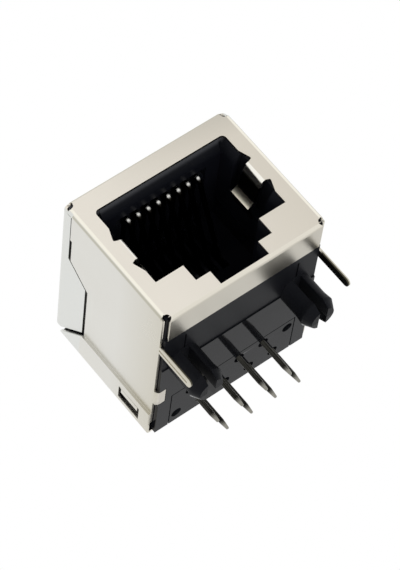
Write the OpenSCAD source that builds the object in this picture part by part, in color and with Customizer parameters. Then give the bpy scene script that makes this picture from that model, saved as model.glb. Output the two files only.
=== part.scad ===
// Shielded 8-contact modular jack for a printed circuit board, latch towards the board.
// Frame: +Z away from the board, the mouth faces -Y, X to the right when looking into the mouth.
// Origin: on the board surface, midway between the two locating pegs.

/* [Shield] */
// Width over the side panels
shield_w = 16.3; // [16:0.1:18]
// Height of the top panel above the board
shield_h = 13.4; // [13:0.1:15.4]
// Depth from the front face to the rear panel
shield_d = 18; // [17.8:0.1:22]
// Thickness of the sheet
sheet = 0.25; // [0.2:0.05:0.3]
// Outer radius of every fold
fold_r = 0.4; // [0.35:0.05:0.5]
// Distance from the front face back to the pegs
face_to_pegs = 7.6; // [7.4:0.05:7.9]
// Depth of the bottom flange
flange_d = 3.2; // [2.4:0.1:3.4]
// Radius of the round relief at each corner of the front face
relief_r = 0.27; // [0.2:0.01:0.3]
// Gap beside the bottom flange, measured from the outside of the side panel
flange_gap = 0.5; // [0.4:0.05:0.8]

/* [Mouth in the front face] */
// Width of the wide upper part
mouth_w = 13; // [12.6:0.1:13.4]
// Metal left above the mouth
mouth_top = 1.95; // [1.8:0.05:2.4]
// Height of the wide upper part
mouth_h = 8; // [7.6:0.1:8.2]
// Radius of the two upper corners
mouth_r = 0.4; // [0.2:0.05:0.8]
// Width of the first step below, where the plug's latch shoulders pass
latch_w = 7.6; // [6.8:0.1:8]
// Height of the first step
latch_h = 1.65; // [1.4:0.05:1.8]
// Width of the lowest slot, where the latch tab passes
tab_slot_w = 4.8; // [4:0.1:5.6]

/* [Ground fingers] */
// Height of each finger
finger_h = 2.18; // [1.6:0.02:2.4]
// Distance from the top of the shield down to a finger
finger_drop = 5.19; // [4.9:0.01:5.6]
// How far a finger's root stands into the mouth from its side edge
finger_in = 0.36; // [0.3:0.02:0.5]
// Depth of a finger behind the face
finger_d = 4.9; // [4:0.1:5.2]
// How far a finger leans inwards before its kink
finger_lean = 0.52; // [0.3:0.02:0.6]
// Distance from the front face back to the kink
finger_kink = 2.6; // [2.2:0.05:2.8]
// How far the kink steps further inwards, at 45 degrees
finger_kick = 0.54; // [0.3:0.02:0.6]
// Width of the relief notches above and below a finger
notch_w = 0.39; // [0.2:0.01:0.45]

/* [Side panels] */
// Drop of the skirt's front edge below the top of the shield
skirt_front = 1.15; // [0.9:0.05:1.3]
// Drop of the skirt's deep rear edge below the top of the shield
skirt_rear = 3.55; // [2.8:0.05:4]
// Width of the open seam between panel and skirt
seam_gap = 0.3; // [0.15:0.05:0.4]
// Width of the tight seam between panel and skirt
seam_fit = 0.08; // [0.05:0.01:0.12]
// Length of each rear wing along the side
wing_l = 3.2; // [2.8:0.05:3.4]
// Height of the window in each wing
window_h = 2.7; // [2:0.1:3]
// Length of the window in each wing
window_l = 1.65; // [1.4:0.05:1.8]

/* [Board side] */
// Distance between the two locating pegs
peg_pitch = 11.43; // [11.4:0.01:11.5]
// Diameter of a peg's shank
peg_d = 3; // [2.9:0.05:3.1]
// Diameter over the barb of a peg
barb_d = 3.2; // [3.15:0.05:3.4]
// Length of a peg below the board surface
peg_l = 3.6; // [3.2:0.1:3.8]
// Width of the slot that splits a peg
peg_slot = 0.85; // [0.6:0.05:0.9]
// Width of a solder tail
tail_w = 0.9; // [0.8:0.05:1.2]
// Length of a solder tail below the board surface
tail_l = 3.6; // [3.2:0.1:3.8]
// Distance from the front face back to a tail's middle
tail_y = 4.65; // [4.4:0.05:5]
// Length of a retaining tab along the side
hold_w = 1.9; // [1.5:0.1:2.2]
// Flat reach of a retaining tab under the housing
hold_reach = 0.55; // [0.4:0.05:0.6]
// Distance from the front face back to a retaining tab's middle
hold_y = 12.1; // [11.8:0.1:12.2]

/* [Contacts] */
// Number of contacts
contacts = 8; // [4:2:8]
// Pitch of the contacts in the mouth
contact_pitch = 1.016; // [1:0.002:1.03]
// Pitch of the board pins, counted across both rows
pin_pitch = 1.27; // [1.25:0.01:1.29]
// Distance from the pegs back to the front row of pins
front_row = 6.35; // [6.3:0.05:6.6]
// Distance between the two rows of pins
row_pitch = 2.54; // [2.4:0.02:2.6]
// Diameter of the contact wire
wire_d = 0.46; // [0.4:0.01:0.5]
// Length of a board pin below the board surface
pin_l = 3.7; // [3.2:0.1:3.8]
// Length of the chamfer at a pin's tip
pin_tip = 0.15; // [0.1:0.01:0.2]
// Diameter of the shank that holds a contact in the carrier
shank_d = 0.8; // [0.78:0.01:0.84]
// Slope of the spring part of a contact
spring_slope = 26; // [22:1:28]
// Length of the spring part of a contact
spring_l = 8.6; // [8:0.1:9]
// Distance from the front face back to the front bend of a contact
hook_y = 3.3; // [3.2:0.05:3.6]
// Drop of the front bend's middle below the top of the shield
hook_drop = 2.65; // [2.6:0.05:2.8]
// Radius of a contact's front and rear bends
hook_r = 0.4; // [0.35:0.01:0.42]

/* [Housing] */
// Width of the space for the plug
plug_w = 11.9; // [11.7:0.1:12]
// Depth of the space for the plug, from the front face
plug_d = 10.2; // [9.8:0.1:10.4]
// Depth of the bevel around the mouth
bevel_d = 1.2; // [0.8:0.1:1.4]
// Thickness of the front lip that catches the plug's latch
lip_t = 1.4; // [1.3:0.1:1.6]
// Depth of the latch space behind the face
latch_d = 8.4; // [7:0.1:9]
// Thickness of the housing's floor under the latch space
floor_t = 1; // [0.8:0.1:1.2]
// Thickness of the housing's roof
roof_t = 0.45; // [0.4:0.05:0.5]
// Distance from the front face back to the carrier
carrier_y = 12.95; // [12.8:0.05:13.1]
// Width of the carrier
carrier_w = 13; // [12.6:0.1:13.2]
// Height of the carrier's foot
foot_h = 5.2; // [4.4:0.1:6]
// Diameter of the recess around each pin
recess_d = 1; // [0.96:0.02:1.1]
// Depth of the recess around each pin
recess_h = 0.5; // [0.3:0.05:0.8]
// Distance from the front face back to the seat, the part of the underside that meets the board
seat_y = 7.85; // [7.7:0.05:8.2]
// Depth of the shallow relief in front of the seat
seat_step = 0.1; // [0.05:0.01:0.15]
// Width of the open seam around the carrier
carrier_gap = 0.1; // [0.05:0.01:0.15]
// Clearance between neighbouring pieces
fit = 0.05; // [0.03:0.01:0.08]

/* [Hidden] */
$fn = 48;
eps = 0.01;

half_w = shield_w / 2;
y_face = -face_to_pegs;
y_rear = y_face + shield_d;
z_mouth = shield_h - mouth_top;
z_wide = z_mouth - mouth_h;
z_latch = z_wide - latch_h;
flange_half = half_w - flange_gap;

// Metal at the sides and at the back, on its inner face
inner_x = half_w - sheet;
inner_z = shield_h - sheet;
house_x = inner_x - fit;
house_top = inner_z - fit;
house_front = y_face + sheet + fit;
house_rear = y_rear - sheet - fit;

// Ground fingers
finger_x = mouth_w / 2 - finger_in;
finger_root = 0.06;
finger_fold = finger_in + finger_root;
z_finger = shield_h - finger_drop - finger_h;
notch_rise = 1.06;
notch_flat = 0.27;

// Seam between side panel and skirt, from the front to the rear corner
seam_y = [3.6, 6.4, 8.2];
y_wing = y_rear - wing_l;
z_skirt_front = shield_h - skirt_front;
z_skirt_rear = shield_h - skirt_rear;
wing_rise = y_rear - fold_r - y_wing;

// Window of a wing, and the lance of the side panel that locks in it
window_inset = 0.75;
window_y = y_rear - window_inset - window_l;
window_z = 1.65;
lance_in = 0.75;
lance_l = 0.55;
lance_gap = 0.25;
lance_h = window_h - 2 * lance_gap;
lance_t = 0.2;
panel_end = window_y + lance_in;

// Groove pressed along each tail, and the slit beside each peg
tail_groove_w = 0.25;
tail_groove_t = 0.08;
slit_w = 0.15;
slit_h = 0.4;
slit_l = 7.1;

// Contact wires
wire_r = wire_d / 2;
fan_r = 1.5;
knee_r = wire_r + eps;
shank_low = 0.1;
y_hook = y_face + hook_y;
z_hook = shield_h - hook_drop;
z_run = z_hook + hook_r;
fan_gap = 0.3;
z_fan = foot_h + fan_gap;

// Space that the wires run through, under the roof
roof_z = house_top - roof_t;
bay_side = 1;
bay_half = (contacts - 1) / 2 * contact_pitch + bay_side;
bevel_h = 0.55;
plug_top = z_mouth - bevel_h;
pocket_side = 0.2;
slot_lip = 0.3;
comb_w = 0.72;
comb_low = 5.9;
comb_d = 1.75;
y_plug = y_face + plug_d;
y_carrier = y_face + carrier_y;
arm_half = bay_half - fit;
arm_front = y_hook + hook_r;
arm_cover = 0.1;
arm_low = z_run - arm_cover;
back_t = 0.5;
spare_h = 2;
cone_h = 0.8;
tip_d = 2.3;

function pin_x(i) = (i - (contacts + 1) / 2) * pin_pitch;
function contact_x(i) = (i - (contacts + 1) / 2) * contact_pitch;
function pin_y(i) = front_row + (i % 2 == 0 ? row_pitch : 0);

// Copies its children to the other side of the middle plane as well
module both_sides() {
    children();
    mirror([1, 0, 0]) children();
}

// Block given by its lowest and highest corners
module block(low, high) {
    translate(low) cube(high - low);
}

// Block that is centred on x = 0, given by its half width
module centred(half, y, z) {
    block([-half, y[0], z[0]], [half, y[1], z[1]]);
}

// Outline in the YZ plane, made a plate from x to x + thickness
module side_plate(x, thickness, outline) {
    translate([x, 0, 0])
        rotate([90, 0, 90])
            linear_extrude(thickness) polygon(outline);
}

// Quarter ring of sheet along Z, in the corner of +X and +Y, outer radius r
module fold(length, r = fold_r) {
    linear_extrude(length)
        difference() {
            intersection() {
                circle(r);
                square(r);
            }
            circle(r - sheet);
        }
}

// Fold along X between a vertical plate and a level one; up and back are 1 or -1
module cross_fold(half, y, z, back, up) {
    translate([-half, y, z])
        rotate([90, 0, 90])
            scale_sign(back, up) fold(2 * half);
}

// Mirrors in X and Y where a sign is -1
module scale_sign(sx, sy) {
    mirror([sx < 0 ? 1 : 0, 0, 0])
        mirror([0, sy < 0 ? 1 : 0, 0]) children();
}

// Mouth outline, drawn with x across and y up
module mouth_outline() {
    wide = mouth_w / 2;
    difference() {
        translate([-wide, z_wide]) square([mouth_w, mouth_h]);
        both_sides() translate([wide - mouth_r, z_mouth - mouth_r]) square(mouth_r + eps);
    }
    both_sides() translate([wide - mouth_r, z_mouth - mouth_r]) circle(mouth_r);
    translate([-latch_w / 2, z_latch]) square([latch_w, latch_h + eps]);
    translate([-tab_slot_w / 2, fold_r]) square([tab_slot_w, z_latch - fold_r + eps]);
    both_sides() finger_relief();
}

// Relief around one finger: its folded root and the slanted notches above and below
module finger_relief() {
    wide = mouth_w / 2;
    root = finger_x + finger_fold;
    top = z_finger + finger_h;
    polygon([
        [wide - eps, z_finger - notch_flat - notch_rise],
        [wide + notch_w, z_finger - notch_flat],
        [wide + notch_w, z_finger - notch_flat / 2],
        [root, z_finger],
        [root, top],
        [wide + notch_w, top + notch_flat / 2],
        [wide + notch_w, top + notch_flat],
        [wide - eps, top + notch_flat + notch_rise]
    ]);
}

// Front face with its mouth and the folds around it, relieved at the four corners
module front_face() {
    corner = half_w - fold_r;
    z_high = shield_h - fold_r;
    translate([0, y_face + sheet, 0])
        rotate([90, 0, 0])
            linear_extrude(sheet)
                difference() {
                    translate([-corner, fold_r]) square([2 * corner, z_high - fold_r]);
                    mouth_outline();
                    both_sides() {
                        translate([corner, fold_r]) circle(relief_r);
                        translate([corner, z_high]) circle(relief_r);
                    }
                }
    cross_fold(corner - relief_r, y_face + fold_r, z_high, -1, 1);
    cross_fold(flange_half, y_face + fold_r, fold_r, -1, -1);
    both_sides()
        translate([corner, y_face + fold_r, fold_r + relief_r])
            scale_sign(1, -1) fold(z_high - fold_r - 2 * relief_r);
}

// Flange that turns back under the front of the housing
module flange() {
    centred(flange_half, [y_face + fold_r, y_face + flange_d], [0, sheet]);
}

// Ground finger: folded in from the face, leaning towards the plug and kinked to meet it
module finger() {
    x_lean = finger_x - finger_lean;
    y_kink = y_face + finger_kink;
    start = [finger_x, y_face + finger_fold];
    front = [[x_lean, y_kink], [x_lean - finger_kick, y_kink + finger_kick], [x_lean, y_face + finger_d]];
    back = [for (k = [2:-1:0]) front[k] + [sheet, sheet / 2]];
    translate([0, 0, z_finger]) {
        translate([start.x + finger_fold, start.y, 0])
            scale_sign(-1, -1) fold(finger_h, finger_fold);
        linear_extrude(finger_h)
            polygon(concat([start], front, back, [start + [sheet, 0]]));
    }
}

// Side panel below the seam, with its tail, its retaining tab and the lance in the wing's window
module side_panel() {
    y_fold = y_face + fold_r;
    front = z_skirt_front - seam_fit;
    open = z_skirt_front - seam_gap;
    rear = z_skirt_rear - seam_gap;
    side_plate(inner_x, sheet, [
        [y_fold, fold_r],
        [panel_end, fold_r],
        [panel_end, rear],
        [y_face + seam_y[2], rear],
        [y_face + seam_y[1], open],
        [y_face + seam_y[0], open],
        [y_face + seam_y[0], front],
        [y_fold, front]
    ]);
    block([half_w - eps, panel_end - lance_l, window_z + (window_h - lance_h) / 2],
          [half_w + lance_t, panel_end, window_z + (window_h + lance_h) / 2]);
    tail();
    holding_tab();
}

// Solder tail, round at the tip, with a groove pressed along its middle
module tail() {
    y_mid = y_face + tail_y;
    z_tip = -tail_l + tail_w / 2;
    difference() {
        union() {
            block([inner_x, y_mid - tail_w / 2, z_tip], [half_w, y_mid + tail_w / 2, fold_r + eps]);
            translate([inner_x, y_mid, z_tip])
                rotate([0, 90, 0]) cylinder(h = sheet, d = tail_w);
        }
        block([half_w - tail_groove_t, y_mid - tail_groove_w / 2, z_tip],
              [half_w + eps, y_mid + tail_groove_w / 2, fold_r + 2 * eps]);
    }
}

// Tab folded under the housing to hold it in the shield
module holding_tab() {
    y_low = y_face + hold_y - hold_w / 2;
    translate([half_w - fold_r, y_low, fold_r])
        rotate([-90, 0, 0]) fold(hold_w);
    block([half_w - fold_r - hold_reach, y_low, 0], [half_w - fold_r, y_low + hold_w, sheet]);
}

// Top panel with the skirt along each side
module top_panel() {
    y_skirt = y_face + fold_r + seam_fit;
    y_back = y_rear - fold_r;
    z_fold = shield_h - fold_r;
    centred(half_w - fold_r, [y_face + fold_r, y_back], [inner_z, shield_h]);
    cross_fold(half_w - fold_r, y_back, z_fold, 1, 1);
    both_sides() {
        translate([half_w - fold_r, y_back, z_fold])
            rotate([90, 0, 0]) fold(y_back - y_skirt);
        side_plate(inner_x, sheet, [
            [y_skirt, z_fold],
            [y_skirt, z_skirt_front],
            [y_face + seam_y[1], z_skirt_front],
            [y_face + seam_y[2], z_skirt_rear],
            [y_wing, z_skirt_rear],
            [y_back, z_skirt_rear + wing_rise],
            [y_back, z_fold]
        ]);
    }
}

// Rear panel with a wing around each side, outside the side panels
module rear_panel() {
    y_back = y_rear - fold_r;
    wing_top = z_skirt_rear - seam_gap;
    centred(half_w + sheet - fold_r, [y_rear - sheet, y_rear], [fold_r, wing_top + wing_rise]);
    centred(half_w - fold_r, [y_rear - sheet, y_rear], [wing_top, shield_h - fold_r]);
    both_sides() {
        translate([half_w + sheet - fold_r, y_back, fold_r])
            fold(wing_top + wing_rise - fold_r);
        difference() {
            side_plate(half_w, sheet, [
                [y_wing, fold_r],
                [y_back, fold_r],
                [y_back, wing_top + wing_rise],
                [y_wing, wing_top]
            ]);
            block([half_w - eps, window_y, window_z],
                  [half_w + sheet + eps, window_y + window_l, window_z + window_h]);
        }
    }
}

// Shield: one folded sheet
module shield() {
    color("gainsboro") {
        front_face();
        flange();
        top_panel();
        rear_panel();
        both_sides() {
            side_panel();
            finger();
        }
    }
}

// Split locating peg with a barbed, chamfered tip
module peg() {
    difference() {
        union() {
            translate([0, 0, -peg_l + 2 * cone_h])
                cylinder(h = peg_l - 2 * cone_h + seat_step + eps, d = peg_d);
            translate([0, 0, -peg_l + cone_h]) cylinder(h = cone_h, d1 = barb_d, d2 = peg_d);
            translate([0, 0, -peg_l]) cylinder(h = cone_h, d1 = tip_d, d2 = barb_d);
        }
        block([-peg_slot / 2, -barb_d, -peg_l - eps], [peg_slot / 2, barb_d, 0]);
    }
}

// Everything that the plug, the contacts and the carrier need cut out of the housing
module housing_cuts() {
    half_plug = plug_w / 2;
    half_mouth = mouth_w / 2;
    y_open = house_front - eps;
    y_bevel = y_open + bevel_d;

    // space for the plug, and the bevels that lead into it
    centred(half_plug, [y_open, y_plug], [z_wide, plug_top]);
    side_plate(-half_plug, plug_w,
        [[y_open, plug_top - eps], [y_open, z_mouth], [y_bevel, plug_top - eps]]);
    both_sides()
        translate([0, 0, z_wide])
            linear_extrude(z_mouth - z_wide)
                polygon([[half_plug - eps, y_open], [half_mouth, y_open], [half_plug - eps, y_bevel]]);

    // pockets for the ground fingers
    both_sides()
        block([half_plug - eps, y_open, z_finger - notch_rise],
              [half_mouth + pocket_side, y_face + finger_d + fit, z_finger + finger_h + notch_rise]);

    // latch way through the front lip, and the wider latch space behind it
    centred(latch_w / 2, [y_open, y_face + latch_d], [z_latch, z_wide + eps]);
    centred(tab_slot_w / 2, [y_open, y_face + flange_d - slot_lip], [-eps, z_latch + eps]);
    centred(latch_w / 2, [y_face + lip_t + sheet, y_face + latch_d], [floor_t, z_latch + eps]);

    // bay under the roof for the wires, and the comb that guides their free ends
    centred(bay_half, [y_hook - hook_r - wire_d, y_carrier + eps], [plug_top - eps, roof_z]);
    for (i = [1:contacts])
        block([contact_x(i) - comb_w / 2, y_plug - eps, comb_low],
              [contact_x(i) + comb_w / 2, y_plug + comb_d, plug_top]);

    // rear space for the carrier
    centred(carrier_w / 2, [y_carrier, house_rear + eps], [-eps, roof_z]);

    // room for the flange, the relief in front of the seat, and room for the retaining tabs
    centred(house_x + eps, [y_open, y_face + flange_d + fit], [-eps, sheet + fit]);
    centred(house_x + eps, [y_open, y_face + seat_y], [-eps, seat_step]);
    both_sides() {
        y_low = y_face + hold_y - hold_w / 2;
        block([half_w - fold_r - hold_reach - fit, y_low - fit, -eps],
              [house_x + eps, y_low + hold_w + fit, fold_r]);
        block([peg_pitch / 2 - slit_w / 2, -slit_l / 2, -eps],
              [peg_pitch / 2 + slit_w / 2, slit_l / 2, slit_h]);
    }
}

// Housing: one moulding with the plug's space, the latch lip and the pegs
module housing() {
    color("darkslategray") {
        difference() {
            centred(house_x, [house_front, house_rear], [0, house_top]);
            housing_cuts();
            // the folds of the shield take the housing's long edges
            both_sides() corner_cut();
        }
        both_sides() translate([peg_pitch / 2, 0, 0]) peg();
    }
}

// Bevel of a long upper edge of the housing, inside the shield's fold
module corner_cut() {
    side = fold_r - sheet;
    translate([house_x, house_front - eps, house_top])
        rotate([-90, 0, 0])
            linear_extrude(house_rear - house_front + 2 * eps)
                polygon([[-side, 0], [eps, -eps], [eps, side]]);
}

// Carrier: holds the pins in its foot and the wires in its arm, closed by a thin back wall
module carrier() {
    half = carrier_w / 2 - carrier_gap;
    front = y_carrier + carrier_gap;
    rear = house_rear;
    color("dimgray")
        difference() {
            union() {
                centred(half, [front, rear], [0, foot_h]);
                centred(half, [rear - back_t, rear], [0, roof_z - fit]);
                centred(arm_half, [arm_front, rear], [arm_low, roof_z - fit]);
            }
            for (i = [1:contacts]) wire_way(i);
            for (spare = [-1, 1])
                translate([spare * (contacts / 2 + 0.5) * pin_pitch,
                           front_row + (spare < 0 ? row_pitch : 0), -eps])
                    cylinder(h = spare_h, d = recess_d);
        }
}

// Bore and recess for one pin, and the groove for its wire along the arm
module wire_way(i) {
    slack = wire_r + fit;
    translate([pin_x(i), pin_y(i), -eps]) {
        cylinder(h = recess_h, d = recess_d);
        cylinder(h = foot_h + 2 * eps, d = shank_d + 2 * fit);
    }
    block([contact_x(i) - slack, arm_front - eps, arm_low - eps],
          [contact_x(i) + slack, pin_y(i) + slack, z_run + slack]);
}

// Straight length of wire from the origin, rising at a slope away from +Y; 90 is straight up
module wire(length, slope = 90) {
    rotate([slope - 90, 0, 0]) cylinder(h = length, r = wire_r);
    sphere(knee_r);
}

// Arc of wire about the origin in the XZ plane, with its first end rounded; 0 is +X and 90 is +Z
module wire_arc(radius, from, to) {
    rotate([90, 0, 0]) {
        rotate([0, 0, from])
            rotate_extrude(angle = to - from)
                translate([radius, 0]) circle(wire_r);
        rotate([0, 0, from]) translate([radius, 0, 0]) sphere(knee_r);
    }
}

// The same arc in the YZ plane; 0 is +Y and 90 is +Z
module fore_arc(radius, from, to) {
    rotate([0, 0, 90]) wire_arc(radius, from, to);
}

// Two equal arcs that step a rising wire sideways towards +X
module wire_step(angle) {
    translate([fan_r, 0, 0]) wire_arc(fan_r, 180 - angle, 180);
    translate([fan_r * (1 - 2 * cos(angle)), 0, 2 * fan_r * sin(angle)]) wire_arc(fan_r, -angle, 0);
}

// Board pin up to the fan-out: chamfered tip, wire, and the thicker shank in the carrier
module board_pin() {
    translate([0, 0, -pin_l]) cylinder(h = pin_tip, r1 = wire_r - pin_tip / 2, r2 = wire_r);
    translate([0, 0, -pin_l + pin_tip]) cylinder(h = z_fan + pin_l - pin_tip, r = wire_r);
    translate([0, 0, shank_low]) cylinder(h = foot_h - shank_low, d = shank_d);
}

// Contact: board pin, step to the contact pitch, run under the roof, front bend and spring part
module contact(i) {
    xp = pin_x(i);
    xc = contact_x(i);
    yp = pin_y(i);
    step = acos(1 - abs(xc - xp) / (2 * fan_r));
    z_straight = z_fan + 2 * fan_r * sin(step);
    last = 270 - spring_slope;
    color("goldenrod") {
        translate([xp, yp, 0]) board_pin();
        translate([xp, yp, z_fan]) {
            sphere(knee_r);
            scale_sign(xc - xp, 1) wire_step(step);
        }
        translate([xc, yp, z_straight]) wire(z_hook - z_straight);
        translate([xc, yp - hook_r, z_hook]) fore_arc(hook_r, 0, 90);
        translate([xc, y_hook, z_run]) wire(yp - hook_r - y_hook, 0);
        translate([xc, yp - hook_r, z_run]) sphere(knee_r);
        translate([xc, y_hook, z_hook]) {
            fore_arc(hook_r, 90, last);
            translate([0, hook_r * cos(last), hook_r * sin(last)]) wire(spring_l, -spring_slope);
        }
    }
}

shield();
housing();
carrier();
for (i = [1:contacts])
    contact(i);
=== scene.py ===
# %% [markdown]
# # A shielded modular jack for a circuit board
# A finished solid model gives this jack its sizes and places. This notebook dresses it: the folded sheet
# gets its nickel plating and its soft edges, the mouldings get the look of black plastic, and each contact
# is swept again as one smooth wire. Every cell prints what it made, so that you can follow the build.

# %% Load the solids
import math

import bmesh
import bpy
import numpy as np
from mathutils import Matrix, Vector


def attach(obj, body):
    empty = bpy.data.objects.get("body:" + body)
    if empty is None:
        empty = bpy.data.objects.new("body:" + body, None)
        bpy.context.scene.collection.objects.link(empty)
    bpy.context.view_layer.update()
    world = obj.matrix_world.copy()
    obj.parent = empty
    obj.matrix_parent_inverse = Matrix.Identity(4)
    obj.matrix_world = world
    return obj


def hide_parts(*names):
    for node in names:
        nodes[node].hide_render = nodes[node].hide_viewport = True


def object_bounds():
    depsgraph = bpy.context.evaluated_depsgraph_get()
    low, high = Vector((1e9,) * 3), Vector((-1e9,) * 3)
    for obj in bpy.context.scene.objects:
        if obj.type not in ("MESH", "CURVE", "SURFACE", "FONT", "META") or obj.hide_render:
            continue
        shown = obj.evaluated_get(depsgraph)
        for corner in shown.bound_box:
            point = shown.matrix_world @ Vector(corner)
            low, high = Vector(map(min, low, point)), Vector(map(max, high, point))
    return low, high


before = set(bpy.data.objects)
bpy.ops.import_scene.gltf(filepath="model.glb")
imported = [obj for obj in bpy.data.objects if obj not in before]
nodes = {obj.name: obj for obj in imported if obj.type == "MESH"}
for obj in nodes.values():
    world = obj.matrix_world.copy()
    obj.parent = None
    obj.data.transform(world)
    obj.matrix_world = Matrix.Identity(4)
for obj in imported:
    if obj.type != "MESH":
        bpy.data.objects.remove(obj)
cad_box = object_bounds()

MM = 0.001
FRONT = cad_box[0][1] / MM
LOWEST = cad_box[0][2] / MM
TOP = cad_box[1][2] / MM
print("solids:", ", ".join(sorted(nodes)))
print(f"front face at y {FRONT:.2f}, pin tips at z {LOWEST:.2f}, top at z {TOP:.2f}, all in mm")

# %% [markdown]
# ## Camera
# The jack is seen from in front, from its left and from a little below the board, which is where its mouth,
# its pegs and its pins all show. The camera stands more than 200 mm away with a long lens, so that parallel
# edges stay almost parallel, as they do when a small thing is looked at from a distance.
#
# A camera could be turned by three angles, but they are hard to read. Three vectors are plainer: forward
# runs to the target, right is made square to forward, and up is square to both. Lamps are aimed alike.

# %% Camera
EYE = np.array([-87.0, -195.0, -82.1]) * MM
RIGHT = np.array([0.792, -0.063, -0.607])
TARGET = np.array([-0.2, 0.6, 4.9]) * MM
SENSOR = 36.0
LENS = 256.1265


def unit(v):
    """v / |v|"""
    return v / np.linalg.norm(v)


def facing(eye, target, right):
    """Placement at eye, with f = unit(target - eye), r = unit(right - f (right . f)) and u = r x f."""
    forward = unit(target - eye)
    side = unit(right - forward * (right @ forward))
    placed = np.eye(4)
    placed[:3] = np.c_[side, np.cross(side, forward), -forward, eye]
    return Matrix(placed.tolist())


def add_object(name, data):
    """Object that holds the data, linked to the scene."""
    made = bpy.data.objects.new(name, data)
    bpy.context.scene.collection.objects.link(made)
    return made


camera = add_object("camera", bpy.data.cameras.new("camera"))
camera.data.sensor_fit = "HORIZONTAL"
camera.data.sensor_width = SENSOR
camera.data.lens = LENS
camera.data.clip_start = 0.01
camera.matrix_world = facing(EYE, TARGET, RIGHT)
bpy.context.scene.camera = camera
print(f"camera {np.linalg.norm(EYE - TARGET) / MM:.0f} mm away, lens {LENS:.0f} mm")

# %% [markdown]
# ## A small language for shaders
# A shader is a graph of nodes. It could be drawn by hand, but sums of many nodes are hard to follow. The
# class below wraps one output of a node instead, so that a formula such as `cloud * 0.1 + 0.2` builds the
# Math nodes for you. The reflected forms let a number stand first, as in `1 - mask`.

# %% Signals
class Signal:
    """One output of a node. Python's operators on it add Math nodes to its tree."""

    def __init__(self, socket):
        self.socket = socket
        self.tree = socket.id_data

    def math(self, operation, *values, clamp=False):
        """Output of one Math node on the values."""
        options = {"operation": operation, "use_clamp": clamp}
        return add_node(self.tree, "ShaderNodeMath", options, dict(enumerate(values)))

    def __add__(self, other):
        return self.math("ADD", self, other)

    def __sub__(self, other):
        return self.math("SUBTRACT", self, other)

    def __rsub__(self, other):
        return self.math("SUBTRACT", other, self)

    def __mul__(self, other):
        return self.math("MULTIPLY", self, other)

    __radd__ = __add__
    __rmul__ = __mul__

    def __abs__(self):
        return self.math("ABSOLUTE", self)

    def clip(self):
        """The value held between 0 and 1."""
        return self.math("ADD", self, 0.0, clamp=True)

    def square(self):
        """The value times itself."""
        return self * self

    def above(self, level, soft=0.05):
        """0 below a level and 1 above it, with a ramp as wide as soft."""
        return ((self - level) * (1 / soft) + 0.5).clip()

    def under(self, level, soft=0.05):
        """1 below a level and 0 above it, with the same ramp."""
        return 1.0 - self.above(level, soft)

    def between(self, low, high, soft=0.05):
        """1 between two levels and 0 outside them."""
        return self.above(low, soft) * self.under(high, soft)


print("a signal knows", ", ".join(name for name in vars(Signal) if not name.startswith("_")))

# %% [markdown]
# ## One way to make a node
# `add_node` is the only place where a node is made, so every material below reads alike. It sets the node's
# options first, because they decide which inputs the node has, and then gives each input either a value or
# a link from another output. What comes back is a signal, ready for the next formula.

# %% Making a node
def add_node(tree, kind, options=(), inputs=(), out=0):
    """Adds a node, sets its options, then links or sets its inputs. Returns one of its outputs."""
    made = tree.nodes.new(kind)
    for name, value in dict(options).items():
        setattr(made, name, value)
    for name, value in dict(inputs).items():
        if isinstance(value, Signal):
            tree.links.new(value.socket, made.inputs[name])
        else:
            made.inputs[name].default_value = value
    return Signal(made.outputs[out]) if made.outputs else None


print("add_node takes a tree, a kind, options, inputs and the output that is wanted")

# %% [markdown]
# ## Tones
# A real surface is never one colour. Each finish below is a plain tone with further tones laid over it, as
# a painter would lay glazes, and each has an amount between 0 and 1 at every point. Some of these tones vary
# at random, and the rest are painted light and shade, such as a brighter fold or a darker face. The tones of
# a finish stand together in one table, so that they are easy to compare.
#
# Tones are written as a screen shows them, from 0 to 255. Blender reckons in linear light, so they are
# turned into it first.

# %% Tones
def rgb(r, g, b):
    """Screen colour made linear: c / 12.92 near black, else ((c + 0.055) / 1.055) ^ 2.4, c from 0 to 1."""
    c = np.array([r, g, b]) / 255
    linear = np.where(c <= 0.04045, c / 12.92, ((c + 0.055) / 1.055) ** 2.4)
    return (*linear.tolist(), 1.0)


def layered(tree, tones, amounts):
    """The plain tone with the others laid over it by their amounts, in the order of the amounts.

    Inputs 0, 6 and 7 of a Mix node for colours are its factor and its two colours, and output 2 is the mix.
    """
    colour = tones["plain"]
    for name, amount in amounts.items():
        inputs = {0: amount, 6: colour, 7: tones[name]}
        colour = add_node(tree, "ShaderNodeMix", {"data_type": "RGBA"}, inputs, 2)
    return colour


print("screen grey 128 is", round(rgb(128, 128, 128)[0], 3), "in linear light")

# %% [markdown]
# ## Places and patterns
# Folds, seams and the painted light and shade sit at known places, so the shaders need to know where they
# are on the jack. Image maps could carry that, but they would need unwrapping and would blur when seen close
# up.
# All pieces share one origin instead, on the board between the pegs, and a mask is a short formula in x, y
# and z, in millimetres. Grain and cloudiness come from noise, which stays sharp from any distance.

# %% Places and patterns
GRAIN_DEPTH = 0.02 * MM


def where(tree):
    """The shaded point's x, y and z in millimetres, in the frame that all pieces share."""
    place = add_node(tree, "ShaderNodeTexCoord", out="Object")
    return [add_node(tree, "ShaderNodeSeparateXYZ", inputs={0: place}, out=k) * (1 / MM) for k in range(3)]


def noise(tree, scale, detail=3.0, stretch=(1, 1, 1)):
    """Cloudy pattern between 0 and 1 with scale clouds to a metre, stretched along the axes."""
    place = add_node(tree, "ShaderNodeTexCoord", out="Object")
    moved = add_node(tree, "ShaderNodeMapping", inputs={"Vector": place, "Scale": stretch})
    return add_node(tree, "ShaderNodeTexNoise", inputs={"Vector": moved, "Scale": scale, "Detail": detail})


def bumped(tree, height, strength):
    """Normal that follows a height from 0 to 1 as if it were GRAIN_DEPTH deep."""
    inputs = {"Height": height, "Strength": strength, "Distance": GRAIN_DEPTH}
    return add_node(tree, "ShaderNodeBump", inputs=inputs)


print(f"grain is at most {GRAIN_DEPTH / MM} mm deep")

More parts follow.
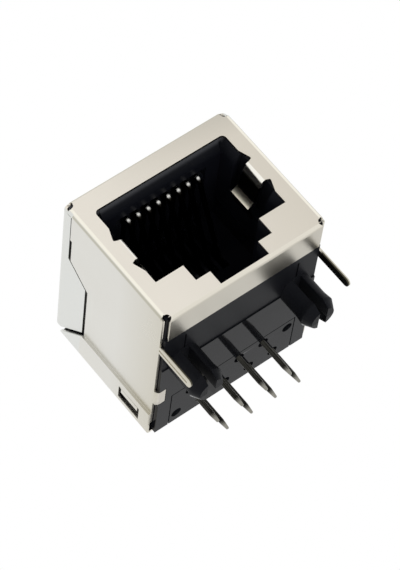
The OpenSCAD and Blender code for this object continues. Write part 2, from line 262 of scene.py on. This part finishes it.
# %% [markdown]
# ## Making a finish
# Blender's Principled shader covers both metal and plastic, so one helper makes every finish of the jack. It
# is given the finish's name and a function that works out what goes into the shader's inputs.

# %% Making a finish
def new_tree(name):
    """A material without nodes, and its tree."""
    material = bpy.data.materials.new(name)
    material.use_nodes = True
    material.node_tree.nodes.clear()
    return material, material.node_tree


def principled(name, finish):
    """Material whose Principled inputs come from finish(tree)."""
    material, tree = new_tree(name)
    shader = add_node(tree, "ShaderNodeBsdfPrincipled", inputs=finish(tree))
    add_node(tree, "ShaderNodeOutputMaterial", inputs={"Surface": shader})
    print("material", name, "with", len(tree.nodes), "nodes")
    return material


# %% [markdown]
# ## Nickel-plated sheet
# The shield is stamped from thin sheet, folded into a box and plated with nickel, which gives it a warm
# satin shine. Rolling leaves fine marks along the sheet: here they are a noise stretched along z. Every
# other tone of the sheet but the cloud is painted light and shade. Painted shade makes it a little darker to
# the right, towards the top and on the lower part of a panel, and the side panels, the skirt above the seam
# and the flange get the tones that the light gives each face, the skirt a cooler one.
#
# The front's folds get a painted highlight with painted shade beside it. The ground fingers get painted
# shade but for a painted highlight at their root and their kink, the inner faces of the tails get painted
# shade, and so do the round reliefs at the corners of the front. All of these are masks made from places.
# They could be painted on a texture, but that would have to be done again whenever a size of the jack
# changed.

# %% Places on the sheet
INNER = 7.9  # from the middle to a side panel's inner face
MOUTH_HALF = 6.5
FLANGE_END = FRONT + 3.4
FINGER_LOW = 5.9
FINGER_HIGH = 8.4
FINGER_ROOT = FRONT + 0.9  # where the painted highlight of the root ends and the painted shade of the blade starts
FINGER_END = FRONT + 5.6
KINK_START = FRONT + 2.6
KINK_END = FRONT + 3.16
RELIEF_X = INNER - 0.15
RELIEF_Z = 0.4  # from the top or the bottom of the front
RELIEF_R = 0.3464
# The seam between panel and skirt is level in front, falls between these places and is level again
SEAM = {"From Min": FRONT + 6.4, "From Max": FRONT + 8.2, "To Min": TOP - 1.25, "To Max": TOP - 3.65}
CLOUDS = 150  # to a metre
ROLL_MARKS = 2600
ROLL_STRETCH = (1, 1, 0.12)
print(f"inner faces at x {INNER} mm, fingers from y {FINGER_ROOT:.1f} to {FINGER_END:.1f} mm")

# %% Tones of the sheet
# Apart from plain and cloud, these tones are painted light and shade on the one nickel.
NICKEL_TONES = {
    "plain": rgb(232, 226, 215),
    # Painted shade: darker to the right and towards the top.
    "right": rgb(206, 199, 185),
    "painted shade upper right": rgb(190, 185, 174),
    # Painted light: the side panels in the tone the light gives them, with painted shade on their lower
    # part.
    "side panel": rgb(219, 218, 212),
    "painted shade low on a panel": rgb(199, 194, 178),
    "cloud": rgb(214, 209, 198),
    # Painted shade beside each fold of the front, and a painted highlight on it.
    "painted shade beside a fold": rgb(184, 181, 165),
    "painted highlight on a fold": rgb(250, 246, 232),
    # Painted light: the skirt and the flange in the tones the light gives these faces.
    "skirt": rgb(219, 220, 216),
    "flange": rgb(226, 221, 208),
    # Painted shade on the inner faces of the tails.
    "painted shade inside a tail": rgb(72, 69, 58),
    # Painted highlight at a finger's root and on its kink, and painted shade on its blade.
    "painted highlight at a finger's root": rgb(248, 245, 236),
    "finger": rgb(32, 30, 24),
    "painted highlight on a finger's kink": rgb(236, 230, 212),
    # Painted shade, near black, in the round reliefs at the front's corners.
    "painted shade in a corner relief": rgb(14, 14, 14),
}
print("the sheet has", len(NICKEL_TONES), "tones")

# %% [markdown]
# ## Painted light and shade on the sheet
# A mark is a product of masks: each mask says yes on one side of a place and no on the other, and only where
# all of them say yes does the tone show. Every mark here is painted light and shade. Where a mark runs along
# two folds, their masks are added. The round reliefs compare the squared distance from their middle with
# their squared radius, and the symmetry of the front gives all four at once.

# %% Painted light and shade on the sheet
def front_light_and_shade(side, y, z):
    """Amounts of painted highlight on the front's folds, painted shade beside them and in its corner
    reliefs.
    """
    front = y.under(FRONT + 0.35, 0.1)
    # Painted highlight along the folds, then painted shade beside them and along the top edge.
    bright = side.between(INNER - 0.14, INNER + 0.09, 0.08) + z.between(0.08, 0.3, 0.08) * side.under(INNER)
    dull = side.above(INNER + 0.13, 0.06) * y.under(FRONT + 0.3, 0.15) + z.above(TOP - 0.2, 0.15) * front
    # The round reliefs get near-black painted shade.
    off_centre = (side - RELIEF_X).square() + (abs(z - TOP / 2) - (TOP / 2 - RELIEF_Z)).square()
    relief = off_centre.under(RELIEF_R ** 2, 0.02) * y.between(FRONT + 0.005, FRONT + 0.4, 0.01)
    return bright.clip() * front, dull.clip(), relief


def finger_light_and_shade(side, y, z):
    """Amounts of a ground finger's painted highlights, at its root and kink, and painted shade on its blade.
    """
    height = z.between(FINGER_LOW, FINGER_HIGH)
    root = side.under(MOUTH_HALF - 0.04) * y.under(FINGER_ROOT, 0.25) * height
    blade = side.under(MOUTH_HALF) * y.between(FINGER_ROOT, FINGER_END, 0.25) * height
    # The kink rubs the plug; its highlight is painted.
    kink = y.between(KINK_START, KINK_END, 0.1) * side.under(MOUTH_HALF - 0.7)
    return root, blade, blade * kink


# All of these marks are painted light and shade.
print("marks: bright and dull folds, corner reliefs, and the root, blade and kink of each finger")

# %% [markdown]
# ## The nickel itself
# A metal has no colour under its shine, so its base colour is the tint of its reflections. Roughness says
# how wide they spread: a satin plating lies near a quarter, and the clouds vary it a little, because no
# plating is quite even. The grain only tilts the normal, since marks this fine don't change the outline.

# %% Nickel
def nickel(tree):
    """Principled inputs of the plated sheet: a metal, slightly cloudy, with a faint rolled grain."""
    x, y, z = where(tree)
    side = abs(x)
    cloud = noise(tree, CLOUDS)
    rolled = noise(tree, ROLL_MARKS, 4, ROLL_STRETCH)
    seam = add_node(tree, "ShaderNodeMapRange", inputs={"Value": y, **SEAM})
    panel = side.above(INNER + 0.07, 0.1)
    bright, dull, relief = front_light_and_shade(side, y, z)
    root, blade, kink = finger_light_and_shade(side, y, z)
    amounts = {
        # Besides the cloud, every amount below lays painted light and shade.
        "right": x.above(2.5, 17) * 0.9,
        "painted shade upper right": z.above(12, 2.5) * x.above(2, 12) * 0.8,
        "side panel": panel,
        "painted shade low on a panel": panel * z.under(2.4, 6.5),
        "cloud": cloud * 0.25,
        "painted shade beside a fold": dull * 0.8,
        "painted highlight on a fold": bright * 0.8,
        "skirt": panel * (z - seam).above(0),
        "flange": z.under(0.32) * y.under(FLANGE_END) * side.under(INNER - 0.1),
        "painted shade inside a tail": z.under(-0.05, 0.3) * side.under(INNER + 0.14),
        "painted highlight at a finger's root": root,
        "finger": blade,
        "painted highlight on a finger's kink": kink,
        "painted shade in a corner relief": relief,
    }
    return {"Base Color": layered(tree, NICKEL_TONES, amounts), "Metallic": 1.0,
            "Roughness": cloud * 0.1 + 0.24, "Normal": bumped(tree, rolled, 0.05)}


metal = principled("satin_nickel", nickel)

# %% [markdown]
# ## Black mouldings
# The housing and the carrier are injection moulded from black plastic. Behind a line just behind the pegs'
# middle their underside is polished, as a polished face of the mould leaves it, and in front of that line it
# is matt. Two materials could meet there. But polish is only a lower roughness, so one ramp over y makes
# both without a cut in the mesh. The space inside gets painted shade, a little darker and bluer, and the
# bevel over the mouth a painted highlight.
#
# Black plastic soon looks grey where it is seen at a low angle, since every smooth surface reflects more
# there. The level of these reflections is turned down, so that the mouldings stay as black as real ones.

# %% Black plastic
POLISH_START = 0.25
SPACE_LOW = 1.2
SPACE_HIGH = TOP - 2.2
SPACE_HALF = 6.6
MOULD_CLOUDS = 220
MOULD_GRAIN = 5200
BLACK_TONES = {
    "plain": rgb(17, 18, 21),
    "cloud": rgb(24, 25, 29),
    # Painted shade inside the housing, a little darker and bluer, and a painted highlight on the bevel over
    # the mouth.
    "inside": rgb(14, 15, 20),
    "painted highlight on the upper bevel": rgb(58, 59, 62),
}


def moulding(tree):
    """Principled inputs of the black plastic: fine grain, matt in front and polished behind."""
    x, y, z = where(tree)
    cloud = noise(tree, MOULD_CLOUDS)
    fine = noise(tree, MOULD_GRAIN)
    polished = y.above(POLISH_START, 0.02)
    amounts = {
        "cloud": cloud,
        # Painted shade in the space inside and a painted highlight on the bevel over the mouth.
        "inside": z.between(SPACE_LOW, SPACE_HIGH) * y.above(FRONT + 1.2, 0.6) * abs(x).under(SPACE_HALF),
        "painted highlight on the upper bevel": z.above(SPACE_HIGH + 0.1, 0.2) * y.under(FRONT + 0.7, 0.3),
    }
    rough = cloud * 0.04 + 0.4 - polished * 0.35
    return {"Base Color": layered(tree, BLACK_TONES, amounts), "Roughness": rough,
            "Normal": bumped(tree, fine, 0.06), "Specular IOR Level": 0.055}


black = principled("black_moulding", moulding)

# %% [markdown]
# ## Plated wire
# A contact is drawn wire with a thin plating. Its tones, but for a cloud, are painted light and shade: a
# painted highlight on the front bend, which meets the plug first, and another on the tips of the pins, which
# take the solder. Between them the wire gets a dark tone as painted shade, and painted shade makes it darker
# still inside the housing. Each wire could have a finish of its own, but all eight have these places at the
# same heights, so one finish covers them.

# %% Wire
HOUSED = 3.0  # height above the board where the wire is well inside
BEND_LOW = TOP - 2.95
BEND_HIGH = TOP - 2.5
WIRE_CLOUDS = 900
WIRE_TONES = {
    # Painted shade: the plain tone is dark, and darker still inside the housing.
    "plain": rgb(36, 36, 34),
    "cloud": rgb(62, 61, 56),
    "painted shade in the housing": rgb(24, 22, 19),
    # Painted highlights on the tips of the pins and on the front bend.
    "tip": rgb(142, 140, 132),
    "front bend": rgb(212, 211, 206),
}


def plated(tree):
    """Principled inputs of the wire: a metal whose painted light and shade go by the height on the wire."""
    _, y, z = where(tree)
    cloud = noise(tree, WIRE_CLOUDS)
    amounts = {
        "cloud": cloud,
        # Painted shade inside the housing, painted highlights on the pins' tips and the front bend.
        "painted shade in the housing": z.above(HOUSED),
        "tip": z.under(LOWEST + 0.6, 0.5),
        "front bend": y.under(FRONT + 2.8, 0.1) * z.between(BEND_LOW, BEND_HIGH, 0.2),
    }
    tone = layered(tree, WIRE_TONES, amounts)
    return {"Base Color": tone, "Metallic": 1.0, "Roughness": cloud * 0.1 + 0.22}


wire = principled("plated_wire", plated)

# %% [markdown]
# ## Soft edges
# Folded sheet and moulded plastic have no knife edges, and it is the thin line of light along an edge that
# makes a small part look real. The solids could be remodelled here with rounded edges, but their shapes are
# right already, so a copy of each only gets its edges rounded and then stands for its solid.
#
# A solid arrives as loose triangles. Their doubled points are merged and flat neighbours are joined first,
# so that only true edges are left for the Bevel modifier. Weighted normals then keep the large flat faces
# flat in the light, though everything is shaded smooth.

# %% Sheet and mouldings
MERGE_DISTANCE = 0.001 * MM
FLAT = math.radians(0.5)
SHARP = math.radians(35)


def stand_in(piece, node):
    """Joins a finished piece to the frame in the place of one solid."""
    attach(piece, "root")
    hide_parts(node)
    print(piece.name, "stands for", node, "with", len(piece.data.polygons), "faces")


def merged(node):
    """Copy of a solid's mesh with its doubled points merged and its flat neighbours joined."""
    mesh = nodes[node].data.copy()
    shape = bmesh.new()
    shape.from_mesh(mesh)
    bmesh.ops.remove_doubles(shape, verts=shape.verts, dist=MERGE_DISTANCE)
    bmesh.ops.dissolve_limit(shape, angle_limit=FLAT, verts=shape.verts, edges=shape.edges)
    shape.to_mesh(mesh)
    shape.free()
    return mesh


def softened(node, name, width, material):
    """Copy of a solid with a bevel of this width on every edge sharper than SHARP."""
    mesh = merged(node)
    mesh.materials.clear()
    mesh.materials.append(material)
    mesh.shade_smooth()
    piece = add_object(name, mesh)
    bevel = piece.modifiers.new("edges", "BEVEL")
    bevel.width = width
    bevel.segments = 2
    bevel.limit_method = "ANGLE"
    bevel.angle_limit = SHARP
    bevel.harden_normals = True
    even = piece.modifiers.new("even_normals", "WEIGHTED_NORMAL")
    even.weight = 100
    stand_in(piece, node)


softened("shield", "folded_shield", 0.04 * MM, metal)
softened("housing", "moulded_housing", 0.09 * MM, black)
softened("carrier", "moulded_carrier", 0.06 * MM, black)

# %% [markdown]
# ## Contacts
# Each of the eight contacts is one bent wire: a pin through the board, a thicker shank in the carrier, a
# small step sideways from the pins' pitch to the plug's, a run under the roof, the front bend and the
# spring that presses on the plug.
#
# A curve object with a round profile would give such a tube too. Here the path is worked out from straight
# lines and arcs, because then every length stands in the code by name, and the radius is given point by
# point for the tapered tip, the shank and the rounded end of the spring. The places are those of the solids,
# so each wire lies where its solid does.

# %% Sizes of a contact
CONTACTS = 8
PIN_PITCH = 1.27  # counted across both rows
CONTACT_PITCH = 1.016  # in the mouth
FRONT_ROW = 6.35  # from the pegs back to the front row of pins
ROW_PITCH = 2.54
WIRE_R = 0.23
SHANK_R = 0.4
TAPER = 0.9  # length over which a pin narrows to its tip
TAPER_R = 0.13
ROUNDED = 0.12  # length of the rounded end of the spring
ROUNDED_R = 0.18
END_R = 0.08  # on the flat that closes either end
FAN_R = 1.5  # of the sidestep's arcs
BEND_R = 0.4
Z_SHANK = 0.5
Z_FOOT = 5.2
Z_FAN = 5.5
Z_BEND = TOP - 2.65
Y_BEND = FRONT + 3.3
SLOPE = 26  # of the spring, in degrees
SPRING = 8.6  # length of the spring
print(f"{CONTACTS} contacts: pins {PIN_PITCH} mm apart, springs {CONTACT_PITCH} mm apart")

# %% [markdown]
# ## Stretches of a contact
# A bending machine makes a wire like this one bend at a time, and the code does the same. Each stretch below
# gives its own points, and the last function strings them together. The pins stand in two rows, so every
# second contact starts farther back and has the longer run under the roof.

# %% Stretches of a contact
def pin_stretch(x, y):
    """Upright line at (x, y), as points from the tip to just above the foot, and the radius at each."""
    step = 0.05
    rows = [(LOWEST, END_R), (LOWEST + step, TAPER_R), (LOWEST + TAPER, WIRE_R),
            (Z_SHANK - step, WIRE_R), (Z_SHANK + step, SHANK_R),
            (Z_FOOT - step, SHANK_R), (Z_FOOT + step, WIRE_R), (Z_FAN, WIRE_R)]
    z, radius = np.array(rows).T
    return np.c_[np.full(len(z), x), np.full(len(z), y), z], radius


def sidestep(start, end, y):
    """Two equal arcs, there and back, that move the wire from x = start to x = end as it rises.

    Each turns by acos(1 - |end - start| / 2r), so that together they move it by just end - start.
    """
    turn = math.acos(1 - abs(end - start) / (2 * FAN_R))
    way = math.copysign(FAN_R, end - start)
    t = np.linspace(0, turn, 7)[1:]
    x = np.r_[start + way * (1 - np.cos(t)), end - way * (1 - np.cos(turn - t))]
    rise = np.r_[np.sin(t), 2 * math.sin(turn) - np.sin(turn - t)]
    return np.c_[x, np.full(len(x), y), Z_FAN + FAN_R * rise]


def bend(x, y, start, end, steps):
    """Points (x, y + r cos t, Z_BEND + r sin t), with t from start to end in degrees and r = BEND_R."""
    t = np.radians(np.linspace(start, end, steps))
    return np.c_[np.full(steps, x), y + BEND_R * np.cos(t), Z_BEND + BEND_R * np.sin(t)]


def contact_path(i):
    """Path and radius of contact i, from the pin's tip to the free end of the spring, in metres."""
    place = i - (CONTACTS + 1) / 2
    pin_x = place * PIN_PITCH
    x = place * CONTACT_PITCH
    y = FRONT_ROW + (ROW_PITCH if i % 2 == 0 else 0)
    pin, pin_radius = pin_stretch(pin_x, y)
    rear = bend(x, y - BEND_R, 0, 90, 9)
    front = bend(x, Y_BEND, 90, 270 - SLOPE, 17)
    slope = math.radians(SLOPE)
    along = np.array([0, math.cos(slope), -math.sin(slope)])
    reach = np.array([SPRING / 2, SPRING - ROUNDED, SPRING - 0.03, SPRING])
    spring = front[-1] + reach[:, None] * along
    path = np.concatenate([pin, sidestep(pin_x, x, y), rear, front, spring])
    radius = np.full(len(path), WIRE_R)
    radius[:len(pin)] = pin_radius
    radius[-2:] = ROUNDED_R, END_R
    return path * MM, radius * MM


print("one path has", len(contact_path(1)[0]), "points")

# %% [markdown]
# ## Sweeping the wire
# A ring of points rides along the path, held square to it, and every ring is joined to the next by faces
# with four sides. A ring could also spin about the path, which would twist the faces. The fixed x axis stops
# that: no stretch of a contact runs along x, so x always has a part that is square to the path.

# %% Swept wires
SIDES = 20


def swept(name, path, radius):
    """Tube p(s) + r(s) (a cos t + b sin t), a square to the path and nearest to x, and b = tangent x a.

    The tangent at each point of the path comes from its two neighbours. A flat face closes either end.
    """
    tangent = np.gradient(path, axis=0)
    tangent /= np.linalg.norm(tangent, axis=1)[:, None]
    a = np.array([1.0, 0, 0]) - tangent[:, :1] * tangent
    a /= np.linalg.norm(a, axis=1)[:, None]
    b = np.cross(tangent, a)
    t = np.arange(SIDES) * 2 * math.pi / SIDES
    ring = a[:, None] * np.cos(t)[:, None] + b[:, None] * np.sin(t)[:, None]
    points = (path[:, None] + radius[:, None, None] * ring).reshape(-1, 3)
    row = np.arange(len(path) - 1)[:, None] * SIDES
    k = np.arange(SIDES)
    after = (k + 1) % SIDES
    walls = np.stack([row + k, row + after, row + SIDES + after, row + SIDES + k], axis=-1).reshape(-1, 4)
    ends = [k[::-1].tolist(), (k + (len(path) - 1) * SIDES).tolist()]
    mesh = bpy.data.meshes.new(name)
    mesh.from_pydata(points.tolist(), [], walls.tolist() + ends)
    mesh.shade_smooth()
    mesh.materials.append(wire)
    return add_object(name, mesh)


for i in range(1, CONTACTS + 1):
    stand_in(swept(f"wire_{i}", *contact_path(i)), f"contact_{i}")

# %% [markdown]
# ## Floor
# The floor carries the jack's shadow when it is seen from above. A large grey sheet would show its edge and
# its own shade, so away from the jack it fades to plain white for the camera, and reflections in the metal
# always find it white. Seen from below it isn't there at all, because the jack is also looked at from there.

# %% Floor
FLOOR_Z = cad_box[0][2] - 0.02 * MM
FLOOR_HALF = 3.0
FADE_START = 0.012
FADE_END = 0.06
NEAR_WHITE = 0.45
FLOOR_GREY = (0.85, 0.85, 0.85, 1)
WHITE = (1, 1, 1, 1)


def rays(tree):
    """Outputs of one Light Path node, which tell what kind of ray is asking, by name."""
    path = add_node(tree, "ShaderNodeLightPath").socket.node
    return {out.name: Signal(out) for out in path.outputs}


def floor_material():
    """Grey near the jack and white away from it, and see-through from below."""
    material, tree = new_tree("floor")
    ray = rays(tree)
    place = add_node(tree, "ShaderNodeTexCoord", out="Object")
    away = add_node(tree, "ShaderNodeVectorMath", {"operation": "LENGTH"}, {0: place}, "Value")
    fade = add_node(tree, "ShaderNodeMapRange", {"interpolation_type": "SMOOTHSTEP"}, {
        "Value": away, "From Min": FADE_START, "From Max": FADE_END, "To Min": NEAR_WHITE, "To Max": 1.0})
    white = (ray["Is Camera Ray"] * fade + ray["Is Glossy Ray"] + ray["Is Transmission Ray"]).clip()
    lit = add_node(tree, "ShaderNodeBsdfDiffuse", inputs={"Color": FLOOR_GREY})
    glow = add_node(tree, "ShaderNodeEmission", inputs={"Color": WHITE})
    above = add_node(tree, "ShaderNodeMixShader", inputs={0: white, 1: lit, 2: glow})
    unseen = add_node(tree, "ShaderNodeBsdfTransparent")
    from_below = add_node(tree, "ShaderNodeNewGeometry", out="Backfacing")
    both = add_node(tree, "ShaderNodeMixShader", inputs={0: from_below, 1: above, 2: unseen})
    add_node(tree, "ShaderNodeOutputMaterial", inputs={"Surface": both})
    return material


corners = FLOOR_HALF * np.array([[-1, -1, 0], [1, -1, 0], [1, 1, 0], [-1, 1, 0]])
floor_mesh = bpy.data.meshes.new("floor")
floor_mesh.from_pydata(corners.tolist(), [], [(0, 1, 2, 3)])
floor_mesh.materials.append(floor_material())
floor = add_object("floor", floor_mesh)
floor.location.z = FLOOR_Z
floor.visible_shadow = False
print(f"floor {FLOOR_Z / MM:.2f} mm from the board surface")

# %% [markdown]
# ## World
# The jack stands in plain white. The background is pure white wherever the camera or a reflection looks,
# and dimmer as a source of diffuse light, so that the plastic stays black and the colours come out as they
# are written. The light is even, so there is no bright spot for Cycles to seek out, and its map of the
# background is left off.

# %% World
AMBIENT = 0.55
world = bpy.data.worlds.new("studio")
world.use_nodes = True
world.node_tree.nodes.clear()
bpy.context.scene.world = world
ray = rays(world.node_tree)
seen = (ray["Is Camera Ray"] + ray["Is Glossy Ray"] + ray["Is Transmission Ray"]).clip()
sky = add_node(world.node_tree, "ShaderNodeBackground", inputs={
    "Color": WHITE, "Strength": seen * (1 - AMBIENT) + AMBIENT})
add_node(world.node_tree, "ShaderNodeOutputWorld", inputs={"Surface": sky})
world.cycles.sampling_method = "NONE"
bpy.context.scene.view_settings.view_transform = "Standard"
print(f"world: white to the eye, {AMBIENT} as a light")

# %% [markdown]
# ## Lamps
# Four broad lamps give the black parts their shape: a small lamp would draw hard spots on them. Reflections
# don't see the lamps, so the metal stays as even as the white around it. Each row of the table holds where
# a lamp stands and how wide it is, both in metres, and its power in watts.

# %% Lamps
LAMPS = {
    "lamp_above": ((-0.10, -0.20, 0.30), 0.22, 0.7),
    "lamp_below": ((-0.10, -0.22, -0.26), 0.20, 0.7),
    "lamp_right": ((0.30, -0.12, 0.14), 0.20, 0.4),
    "lamp_behind": ((0.05, 0.32, 0.22), 0.22, 0.4),
}
LAMP_RIGHT = np.array([1.0, 0.31, 0.17])
for name, (place, size, watts) in LAMPS.items():
    lamp = add_object(name, bpy.data.lights.new(name, "AREA"))
    lamp.data.shape = "SQUARE"
    lamp.data.size = size
    lamp.data.energy = watts
    lamp.matrix_world = facing(np.array(place), TARGET, LAMP_RIGHT)
    lamp.visible_camera = False
    lamp.visible_glossy = False
    print(f"{name}: {watts} W, {size * 100:.0f} cm square")

# %% [markdown] ## Finish The dressed jack has to be as large as its solids.
